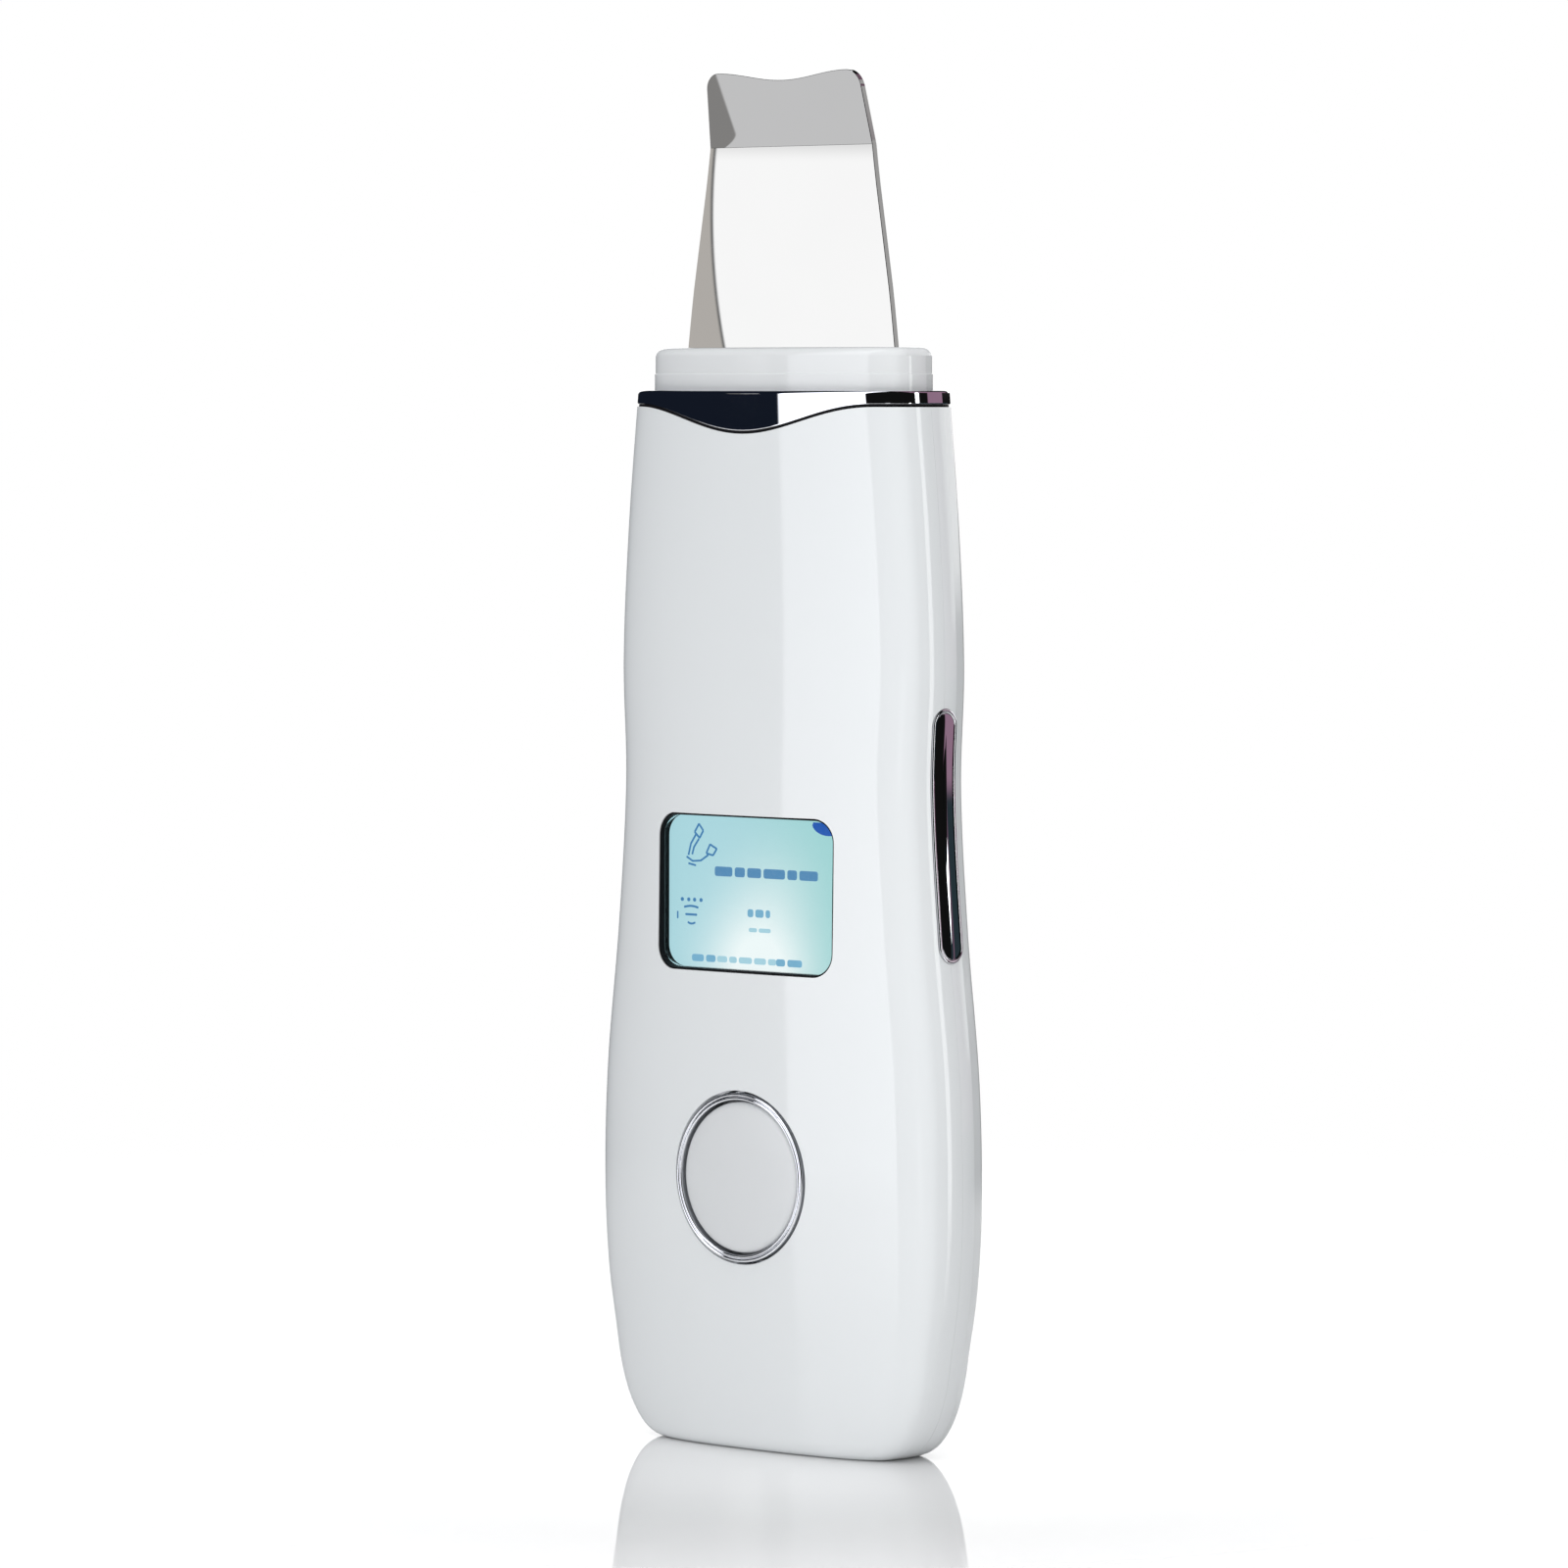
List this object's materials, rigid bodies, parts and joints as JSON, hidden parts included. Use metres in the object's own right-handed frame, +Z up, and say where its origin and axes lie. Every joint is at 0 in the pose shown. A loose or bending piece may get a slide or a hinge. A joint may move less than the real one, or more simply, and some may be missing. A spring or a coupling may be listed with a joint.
{
  "type": "skin scrubber",
  "caption": "Hand-held ultrasonic skin scrubber with a bent steel blade, display window, round button and side contacts, standing on its flat base.",
  "frame": {"origin": "centre of the flat base the handle stands on", "axes": "+Z up the handle to the blade, -Y out of the front with the display and button, +X to the right when the front is faced"},
  "size_m": [0.0544, 0.0189, 0.1644],
  "materials": {
    "gloss_white": "high-gloss white injection moulding",
    "collar_white": "semi-gloss white plastic",
    "chrome": "bright chrome plating",
    "blade_steel": "mirror-polished stainless sheet",
    "button_grey": "satin light grey plastic",
    "black_plastic": "gloss black plastic",
    "clear_lens": "clear acrylic lens",
    "display_glass": "lit display glass",
    "diffuser": "white light guide",
    "white_nylon": "moulded nylon",
    "board_green": "solder-masked circuit board",
    "chip_black": "moulded epoxy",
    "ferrite": "sintered ferrite",
    "copper": "bare copper sheet",
    "silicone": "grey silicone",
    "steel": "zinc-plated steel",
    "aluminium": "turned aluminium",
    "ceramic": "fired piezo ceramic",
    "battery_foil": "pouch cell foil",
    "foam": "adhesive foam",
    "capacitor_sleeve": "shrink sleeve",
    "wire_red": "insulated lead",
    "wire_black": "insulated lead",
    "polyimide": "polyimide flex"
  },
  "bodies": {
    "housing": {"back_mass": "steel", "backlight": "diffuser", "battery": "battery_foil", "battery_connector": "white_nylon", "battery_lead_minus": "wire_black", "battery_lead_plus": "wire_red", "battery_pad": "foam", "blade": "blade_steel", "blade_screw": "steel", "blade_seal": "silicone", "board_screw_1": "steel", "board_screw_2": "steel", "board_screw_3": "steel", "board_screw_4": "steel", "boost_inductor": "ferrite", "button_bezel": "chrome", "button_stop_pad": "silicone", "case_screw_1": "steel", "case_screw_2": "steel", "case_screw_3": "steel", "case_screw_4": "steel", "charge_socket": "steel", "clamp_bolt": "steel", "collar": "collar_white", "control_chip": "chip_black", "display_flex": "polyimide", "display_holder": "white_nylon", "display_panel": "display_glass", "drive_transformer": "ferrite", "electrode_lower": "copper", "electrode_upper": "copper", "front_cover": "gloss_white", "ion_lead_left": "wire_black", "ion_lead_right": "wire_black", "main_board": "board_green", "piezo_lead_ground": "wire_black", "piezo_lead_live": "wire_red", "piezo_ring_lower": "ceramic", "piezo_ring_upper": "ceramic", "rear_cover": "gloss_white", "reservoir_capacitor": "capacitor_sleeve", "side_bezel_left": "chrome", "side_bezel_right": "chrome", "side_plate_left": "chrome", "side_plate_right": "chrome", "tact_switch": "steel", "transducer_horn": "aluminium", "transducer_mount": "silicone", "trim_ring": "chrome", "window_frame": "black_plastic", "window_lens": "clear_lens"},
    "button": {"button_cap": "button_grey"},
    "plunger": {"switch_plunger": "chip_black"}
  },
  "joints": [
    {"name": "button_press", "type": "slide", "parent": "housing", "child": "button", "axis": [0, 1, 0], "range_m": [0, 0.0005], "stiffness_N_per_m": 2000},
    {"name": "plunger_press", "type": "slide", "parent": "housing", "child": "plunger", "axis": [0, 1, 0], "range_m": [0, 0.0005]}
  ],
  "couplings": [
    {"joint": "plunger_press", "follows": "button_press", "ratio": 1}
  ]
}
